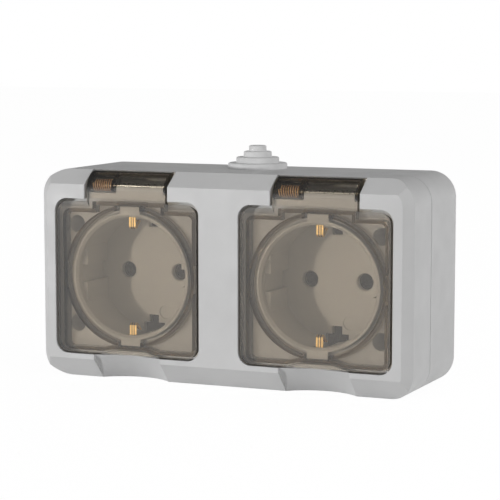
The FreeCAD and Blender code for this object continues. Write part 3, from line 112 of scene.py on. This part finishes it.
class Nodes:
    """Adds nodes to a new material and links them."""

    def __init__(self, name):
        self.material = bpy.data.materials.new(name)
        self.material.use_nodes = True
        self.tree = self.material.node_tree
        self.tree.nodes.clear()
        self.output = self.add("ShaderNodeOutputMaterial")
        place = self.add("ShaderNodeTexCoord")
        self.coordinates = place.outputs["Object"]
        self.normal = place.outputs["Normal"]

    def add(self, kind, **settings):
        node = self.tree.nodes.new(kind)
        for key, value in settings.items():
            setattr(node, key, value)
        return node

    def link(self, source, target):
        self.tree.links.new(source, target)

    def axis(self, source, letter):
        node = self.add("ShaderNodeSeparateXYZ")
        self.link(source, node.inputs["Vector"])
        return node.outputs[letter]

    def math(self, operation, *values):
        return calculate(self.tree, operation, *values)

    def noise(self, size, detail=3.0):
        """Noise whose features are about this many metres wide."""
        node = self.add("ShaderNodeTexNoise")
        node.inputs["Scale"].default_value = 1 / size
        node.inputs["Detail"].default_value = detail
        node.inputs["Roughness"].default_value = 0.55
        self.link(self.coordinates, node.inputs["Vector"])
        return node.outputs["Fac"]

    def spread(self, source, low, high, start=0.35, end=0.65):
        """Low up to start, high from end on, and even between them."""
        node = self.add("ShaderNodeMapRange")
        node.inputs["From Min"].default_value = start
        node.inputs["From Max"].default_value = end
        node.inputs["To Min"].default_value = low
        node.inputs["To Max"].default_value = high
        self.link(source, node.inputs["Value"])
        return node.outputs["Result"]

    def mix(self, factor, first, second):
        node = self.add("ShaderNodeMix", data_type="RGBA")
        self.link(factor, node.inputs["Factor"])
        for index, value in ((MIX_FIRST, first), (MIX_SECOND, second)):
            if isinstance(value, tuple):
                node.inputs[index].default_value = value
            else:
                self.link(value, node.inputs[index])
        return node.outputs[MIX_RESULT]

    def mottled(self, colour, size, low, high):
        """The colour, in patches about this wide, from low to high times its brightness."""
        patches = self.spread(self.noise(size), 0.0, 1.0)
        return self.mix(patches, scaled(colour, low), scaled(colour, high))

    def bevel(self, radius):
        node = self.add("ShaderNodeBevel", samples=4)
        node.inputs["Radius"].default_value = radius
        return node.outputs["Normal"]

    def bump(self, height, strength, distance, normal=None):
        node = self.add("ShaderNodeBump")
        node.inputs["Strength"].default_value = strength
        node.inputs["Distance"].default_value = distance
        self.link(height, node.inputs["Height"])
        if normal is not None:
            self.link(normal, node.inputs["Normal"])
        return node.outputs["Normal"]

    def edge_mask(self, rounded):
        """1 where the rounded normal leans away from the flat one, along the edges."""
        geometry = self.add("ShaderNodeNewGeometry")
        dot = self.add("ShaderNodeVectorMath", operation="DOT_PRODUCT")
        self.link(geometry.outputs["Normal"], dot.inputs[0])
        self.link(rounded, dot.inputs[1])
        return self.spread(dot.outputs["Value"], 1.0, 0.0, start=0.8, end=0.99)

    def principled(self, **inputs):
        node = self.add("ShaderNodeBsdfPrincipled")
        for name, value in inputs.items():
            socket = node.inputs[name.replace("_", " ")]
            if isinstance(value, bpy.types.NodeSocket):
                self.link(value, socket)
            else:
                socket.default_value = value
        self.link(node.outputs["BSDF"], self.output.inputs["Surface"])
        return node

    def blend_surfaces(self, factor, first, second):
        """Shows the second surface by the factor and the first by the rest."""
        node = self.add("ShaderNodeMixShader")
        self.link(factor, node.inputs["Fac"])
        self.link(first, node.inputs[1])
        self.link(second, node.inputs[2])
        self.link(node.outputs["Shader"], self.output.inputs["Surface"])


def moulded_plastic(name, colour, edge=0.35):
    """Injection-moulded plastic: fine spark-eroded grain, soft edges with a painted highlight
    along them, slight flow marks.
    """
    make = Nodes(name)
    rounded = make.bevel(edge * MM)
    tone = make.mottled(colour, 18 * MM, 0.965, 1.02)
    grain = make.noise(0.22 * MM, detail=2.0)
    # Painted highlight: the colour is lighter along the rounded edges.
    make.principled(
        Base_Color=make.mix(make.edge_mask(rounded), tone, scaled(colour, 1.16)),
        Roughness=make.spread(make.noise(6 * MM), 0.38, 0.5),
        Specular_IOR_Level=0.25,
        Normal=make.bump(grain, 0.12, 0.02 * MM, rounded),
    )
    return make.material


def soft_rubber(name, colour):
    """Matt rubber with a fine, uneven skin."""
    make = Nodes(name)
    rounded = make.bevel(0.25 * MM)
    make.principled(
        Base_Color=make.mottled(colour, 5 * MM, 0.94, 1.03),
        Roughness=make.spread(make.noise(2 * MM), 0.55, 0.7),
        Specular_IOR_Level=0.35,
        Normal=make.bump(make.noise(0.3 * MM), 0.1, 0.02 * MM, rounded),
    )
    return make.material


def bare_metal(name, colour, roughness=(0.22, 0.38), shade_depth=None, ribs=None):
    """Plain metal; with painted shade behind the depth shade_depth, and painted shade of two
    grooves along Z on both sides of ribs.
    """
    make = Nodes(name)
    rounded = make.bevel(0.12 * MM)
    tone = make.mottled(colour, 1.5 * MM, 0.86, 1.05)
    if ribs is not None:
        # Painted shade: two dark lines along Z, each RIB_OFFSET from the rib centre, stand for the
        # shade in grooves.
        across = make.math("ABSOLUTE", make.axis(make.coordinates, "X"))
        from_rib = make.math("ABSOLUTE", make.math("SUBTRACT", across, ribs))
        from_groove = make.math("ABSOLUTE", make.math("SUBTRACT", from_rib, RIB_OFFSET))
        groove = make.spread(from_groove, 1.0, 0.0, start=0.12 * MM, end=0.24 * MM)
        tone = make.mix(groove, tone, scaled(colour, 0.06))
    # Painted shade: the colour goes dark behind shade_depth, where the contacts lie deep in the
    # recess.
    if shade_depth is not None:
        depth = make.axis(make.coordinates, "Y")
        behind = make.spread(depth, 0.0, 1.0, start=shade_depth - 0.5 * MM, end=shade_depth + 0.5 * MM)
        tone = make.mix(behind, tone, scaled(colour, 0.12))
    make.principled(
        Base_Color=tone,
        Metallic=1.0,
        Roughness=make.spread(make.noise(0.6 * MM), *roughness),
        Normal=make.bump(make.noise(0.12 * MM), 0.15, 0.01 * MM, rounded),
    )
    return make.material


def spring_wire(name, colour, dark):
    """Bright wire with painted shade where its turns face one another."""
    make = Nodes(name)
    # Painted shade: the wire's sides that face along the coil, towards the next turn, are coloured
    # dark.
    sideways = make.math("ABSOLUTE", make.axis(make.normal, "X"))
    between = make.spread(sideways, 0.0, 1.0, start=0.4, end=0.6)
    make.principled(
        Base_Color=make.mix(between, make.mottled(colour, 1.5 * MM, 0.8, 1.05), dark),
        Metallic=0.3,
        Roughness=make.spread(make.noise(0.6 * MM), 0.2, 0.32),
        Normal=make.bump(make.noise(0.12 * MM), 0.1, 0.01 * MM),
    )
    return make.material


def smoky_plastic(name, colour, density, edge_shade_colour):
    """Clear smoky plastic, darker the further the view passes through it, with painted shade along
    its edges.
    """
    make = Nodes(name)
    rounded = make.bevel(0.2 * MM)
    # Painted shade: where the surface faces sideways, along the edges, its colour goes dark.
    frontal = make.math("ABSOLUTE", make.axis(make.normal, "Y"))
    edges = make.spread(frontal, 1.0, 0.0, start=0.35, end=0.8)
    clear = make.principled(
        Base_Color=make.mix(edges, WHITE, edge_shade_colour),
        Roughness=make.spread(make.noise(4 * MM), 0.0, 0.02),
        IOR=1.08,
        Transmission_Weight=0.98,
        Coat_Weight=1.0,
        Coat_IOR=1.7,
        Coat_Roughness=0.04,
        Normal=make.bump(make.noise(9 * MM, detail=1.0), 0.03, 0.05 * MM, rounded),
    )
    smoke = make.add("ShaderNodeVolumeAbsorption")
    smoke.inputs["Color"].default_value = colour
    smoke.inputs["Density"].default_value = density
    make.link(smoke.outputs["Volume"], make.output.inputs["Volume"])
    lit_through = make.add("ShaderNodeBsdfTransparent")
    lit_through.inputs["Color"].default_value = (0.9, 0.9, 0.9, 1.0)
    shadow_ray = make.add("ShaderNodeLightPath").outputs["Is Shadow Ray"]
    make.blend_surfaces(shadow_ray, clear.outputs["BSDF"], lit_through.outputs["BSDF"])
    return make.material


MATERIALS = {
    "housing": moulded_plastic("housing_plastic", linear(210, 210, 210)),
    "soft_seal": soft_rubber("entry_rubber", linear(227, 227, 227)),
    "gasket": soft_rubber("gasket_rubber", linear(48, 47, 45)),
    "smoky_clear": smoky_plastic(
        "smoky_plastic", (0.56, 0.46, 0.3, 1.0), density=405, edge_shade_colour=linear(34, 31, 26)
    ),
    "insert": moulded_plastic("insert_plastic", linear(209, 208, 205), edge=0.25),
    "carrier": moulded_plastic("carrier_plastic", linear(228, 225, 214), edge=0.2),
    "brass": bare_metal("plain_brass", linear(232, 200, 138), shade_depth=SHADE_DEPTH),
    "steel": bare_metal("zinc_steel", linear(188, 188, 184)),
    # The dark colour of the spring wire is painted shade between its turns.
    "copper_wire": spring_wire(
        "copper_spring_wire", linear(255, 205, 150), dark=linear(84, 40, 16)
    ),
}

for part in frame["record"]["subparts"]:
    target = nodes[part["node"]]
    target.data.materials.clear()
    target.data.materials.append(MATERIALS[part["material_slot"]])

lid_seal = soft_rubber("lid_seal_rubber", linear(176, 172, 164))
earth_brass = bare_metal(
    "earth_arm_brass",
    linear(240, 204, 132),
    roughness=(0.4, 0.5),
    shade_depth=SHADE_DEPTH,
    ribs=PITCH / 2 * MM,
)
for side in CENTRES:
    nodes[f"socket_seal_{side}"].data.materials[0] = lid_seal
    nodes[f"earth_contact_{side}"].data.materials[0] = earth_brass


# The pieces made here repeat these sizes of the solids, in millimetres.

FRONT = 44.6
PIN_DEPTH = 4.6
PIN_HEIGHT = 29.6
TAIL_HALF = 14.2
EAR = 0.7
CUP_BACK = 23.0
SPRING = {
    "wire": 0.6,
    "radius": 1.7,
    "bay": 7.6,
    "play": 0.25,
    "turns": 8,
    "start_angle": 160,
    "end_angle": 70,
    "cover_leg": 3.3,
    "lid_leg": 0.75,
}


def new_piece(name, mesh, slot):
    data = bpy.data.meshes.new(name)
    mesh.to_mesh(data)
    mesh.free()
    piece = bpy.data.objects.new(name, data)
    scene.collection.objects.link(piece)
    piece.data.materials.append(MATERIALS[slot])
    return piece


# The springs: a coil of wire about the hinge pin, with a leg to the cover at one end and a leg to
# the lid at the other.

STEPS_PER_TURN = 28
COVER_LEG_STEPS = 5
LID_LEG_STEPS = 3
WIRE_SIDES = 12
END_SHARE = 0.6
END_LENGTH = 0.02


def spring_line():
    """The wire's centre line about the pin: x along the coil, then y and z, in millimetres."""
    turns = SPRING["turns"] + SPRING["end_angle"] / 360
    edge = SPRING["play"] + SPRING["wire"] / 2
    length = SPRING["bay"] - 2 * edge
    start = math.radians(90 + SPRING["start_angle"])
    radius = SPRING["radius"]
    steps = int(turns * STEPS_PER_TURN)
    points = []
    for step in range(steps + 1):
        part = step / steps
        angle = start - 2 * math.pi * turns * part
        points.append(Vector((-length * part, radius * math.cos(angle), radius * math.sin(angle))))
    first = (points[0] - points[1]).normalized() * SPRING["cover_leg"]
    last = (points[-1] - points[-2]).normalized() * SPRING["lid_leg"]
    cover_leg = [points[0] + first * (1 - k / COVER_LEG_STEPS) for k in range(COVER_LEG_STEPS)]
    lid_leg = [points[-1] + last * (k + 1) / LID_LEG_STEPS for k in range(LID_LEG_STEPS)]
    return cover_leg + points + lid_leg


def wire_mesh(line, radius):
    """A closed round wire along a line of points, with slightly rounded ends."""
    mesh = bmesh.new()
    rings = []
    normal = Vector((1, 0, 0))
    last = len(line) - 1
    sections = [(0, radius * END_SHARE, -END_LENGTH)]
    sections += [(index, radius, 0.0) for index in range(len(line))]
    sections += [(last, radius * END_SHARE, END_LENGTH)]
    for index, size, shift in sections:
        before = line[max(index - 1, 0)]
        after = line[min(index + 1, last)]
        along = (after - before).normalized()
        normal = (normal - along * normal.dot(along)).normalized()
        side = along.cross(normal)
        middle = line[index] + along * shift
        ring = []
        for corner in range(WIRE_SIDES):
            angle = 2 * math.pi * corner / WIRE_SIDES
            outwards = normal * math.cos(angle) + side * math.sin(angle)
            ring.append(mesh.verts.new((middle + outwards * size) * MM))
        rings.append(ring)
    for ring, following in zip(rings, rings[1:]):
        for corner in range(WIRE_SIDES):
            other = (corner + 1) % WIRE_SIDES
            mesh.faces.new((ring[corner], ring[other], following[other], following[corner]))
    mesh.faces.new(list(reversed(rings[0])))
    mesh.faces.new(rings[-1])
    bmesh.ops.recalc_face_normals(mesh, faces=mesh.faces)
    for face in mesh.faces:
        face.smooth = len(face.verts) == 4
    return mesh


def add_spring(side, centre):
    inset = SPRING["play"] + SPRING["wire"] / 2
    right_end = centre - TAIL_HALF + EAR + SPRING["bay"] - inset
    y = PIN_DEPTH - FRONT
    shift = Vector((right_end, y, PIN_HEIGHT))
    mesh = wire_mesh([point + shift for point in spring_line()], SPRING["wire"] / 2)
    piece = new_piece(f"spring_coil_{side}", mesh, "copper_wire")
    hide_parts(f"lid_spring_{side}")
    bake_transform(piece)


# Thin dark sheets of painted shade close the slots of the recesses from behind, round the earth
# arms.

SHADE_SHEET = 0.6
SHADE_SHEET_PLAY = 0.02
SHADE_SHEET_COLUMNS = (-4.7, -2.3, -1.35, 1.35, 2.3, 4.7)
SHADE_SHEET_ROWS = (14.2, 16.8, 20.7, 21.5, 22.8)
ARM_CELL = (2, 2)
EMPTY_CELLS = ((0, 0), (4, 0), ARM_CELL)


def add_shade_sheet(name, centre, end):
    """A T-shaped dark plate of painted shade with a window for the earth arm; end is 1 above the
    pins and -1 below.
    """
    mesh = bmesh.new()
    front = CUP_BACK - FRONT + SHADE_SHEET_PLAY
    corners = {}

    def corner(column, row):
        if (column, row) not in corners:
            x = centre + SHADE_SHEET_COLUMNS[column]
            z = SHADE_SHEET_ROWS[row] * end
            corners[column, row] = mesh.verts.new(Vector((x, front, z)) * MM)
        return corners[column, row]

    for column in range(len(SHADE_SHEET_COLUMNS) - 1):
        for row in range(len(SHADE_SHEET_ROWS) - 1):
            if (column, row) not in EMPTY_CELLS:
                mesh.faces.new((
                    corner(column, row),
                    corner(column + 1, row),
                    corner(column + 1, row + 1),
                    corner(column, row + 1),
                ))
    grown = bmesh.ops.extrude_face_region(mesh, geom=list(mesh.faces))["geom"]
    rear = [item for item in grown if isinstance(item, bmesh.types.BMVert)]
    bmesh.ops.translate(mesh, verts=rear, vec=(0, SHADE_SHEET * MM, 0))
    bmesh.ops.recalc_face_normals(mesh, faces=mesh.faces)
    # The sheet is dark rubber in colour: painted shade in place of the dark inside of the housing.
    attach(new_piece(name, mesh, "gasket"), HOUSING)


for side, centre in CENTRES.items():
    add_spring(side, centre)
    add_shade_sheet(f"slot_shade_sheet_{side}_upper", centre, 1)
    add_shade_sheet(f"slot_shade_sheet_{side}_lower", centre, -1)


# The floor, the light and the camera.

FLOOR_HALF = 3.0
FLOOR_GLOW = 1.06
FLOOR_GLOW_SHARE = 0.9
AMBIENT = 0.39
CEILING = 0.08
CEILING_START = 0.02
CEILING_END = 0.3
KEY = 8.0
FILL = 5.5
LAMP_DISTANCE = 1.4
LAMP_AIM = Vector((0, -0.03, 0))
PHOTO_WIDTH = 500
SENSOR_WIDTH = 36.0
FOCAL_PIXELS = 1974.43
SHIFT_PIXELS = 45.38
CAMERA_PLACE = Vector((257.96, -613.95, 79.48)) * MM
CAMERA_AIM = Vector((11.14, -44.6, -3.43)) * MM


def pale_floor():
    """A matt floor that looks white where no shadow falls."""
    make = Nodes("pale_floor")
    matt = make.principled(
        Base_Color=(0.9, 0.9, 0.9, 1.0), Roughness=0.8, Specular_IOR_Level=0.1
    )
    glow = make.add("ShaderNodeEmission")
    glow.inputs["Strength"].default_value = FLOOR_GLOW
    seen = background_rays(make.tree, make.add("ShaderNodeLightPath"))
    share = make.math("MULTIPLY", seen, FLOOR_GLOW_SHARE)
    make.blend_surfaces(share, matt.outputs["BSDF"], glow.outputs["Emission"])
    return make.material


def add_floor():
    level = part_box("base_box")[0].z
    corners = [(-1, -1), (1, -1), (1, 1), (-1, 1)]
    data = bpy.data.meshes.new("floor")
    data.from_pydata([(x * FLOOR_HALF, y * FLOOR_HALF, level) for x, y in corners], [], [range(4)])
    data.materials.append(pale_floor())
    floor = bpy.data.objects.new("floor", data)
    scene.collection.objects.link(floor)


def studio_world():
    """Even light; the background is white, and gloss reflects a dark ceiling above it."""
    world = bpy.data.worlds.new("studio")
    scene.world = world
    world.use_nodes = True
    tree = world.node_tree
    tree.nodes.clear()
    add = tree.nodes.new
    link = tree.links.new
    shown = add("ShaderNodeBackground")
    shown.inputs["Color"].default_value = WHITE
    lighting = add("ShaderNodeBackground")
    lighting.inputs["Color"].default_value = WHITE
    lighting.inputs["Strength"].default_value = AMBIENT
    direction = add("ShaderNodeSeparateXYZ")
    link(add("ShaderNodeTexCoord").outputs["Generated"], direction.inputs["Vector"])
    ceiling = add("ShaderNodeMapRange")
    ceiling.inputs["From Min"].default_value = CEILING_START
    ceiling.inputs["From Max"].default_value = CEILING_END
    ceiling.inputs["To Min"].default_value = 1.0
    ceiling.inputs["To Max"].default_value = CEILING
    link(direction.outputs["Z"], ceiling.inputs["Value"])
    path = add("ShaderNodeLightPath")
    brightness = add("ShaderNodeMix")
    brightness.inputs["A"].default_value = 1.0
    link(path.outputs["Is Glossy Ray"], brightness.inputs["Factor"])
    link(ceiling.outputs["Result"], brightness.inputs["B"])
    link(brightness.outputs["Result"], shown.inputs["Strength"])
    mixed = add("ShaderNodeMixShader")
    link(background_rays(tree, path), mixed.inputs["Fac"])
    link(lighting.outputs["Background"], mixed.inputs[1])
    link(shown.outputs["Background"], mixed.inputs[2])
    link(mixed.outputs["Shader"], add("ShaderNodeOutputWorld").inputs["Surface"])


def softbox(name, azimuth, elevation, size, power):
    """A square area light; azimuth is counted from the front towards the right."""
    data = bpy.data.lights.new(name, "AREA")
    data.shape = "SQUARE"
    data.size = size
    data.energy = power
    lamp = bpy.data.objects.new(name, data)
    turn = math.radians(azimuth)
    tilt = math.radians(elevation)
    level = math.cos(tilt)
    way = Vector((math.sin(turn) * level, -math.cos(turn) * level, math.sin(tilt)))
    lamp.location = LAMP_AIM + way * LAMP_DISTANCE
    lamp.rotation_euler = way.to_track_quat("Z", "Y").to_euler()
    scene.collection.objects.link(lamp)


def add_camera():
    data = bpy.data.cameras.new("camera")
    data.sensor_fit = "HORIZONTAL"
    data.sensor_width = SENSOR_WIDTH
    data.lens = SENSOR_WIDTH * FOCAL_PIXELS / PHOTO_WIDTH
    data.shift_y = SHIFT_PIXELS / PHOTO_WIDTH
    data.clip_start = 0.01
    camera = bpy.data.objects.new("camera", data)
    camera.location = CAMERA_PLACE
    look = CAMERA_AIM - CAMERA_PLACE
    camera.rotation_euler = look.to_track_quat("-Z", "Y").to_euler()
    scene.collection.objects.link(camera)
    scene.camera = camera


add_floor()
studio_world()
softbox("key_light", azimuth=-32, elevation=-0.5, size=0.05, power=KEY)
softbox("fill_light", azimuth=82, elevation=22, size=1.0, power=FILL)
add_camera()

scene.view_settings.view_transform = "Standard"
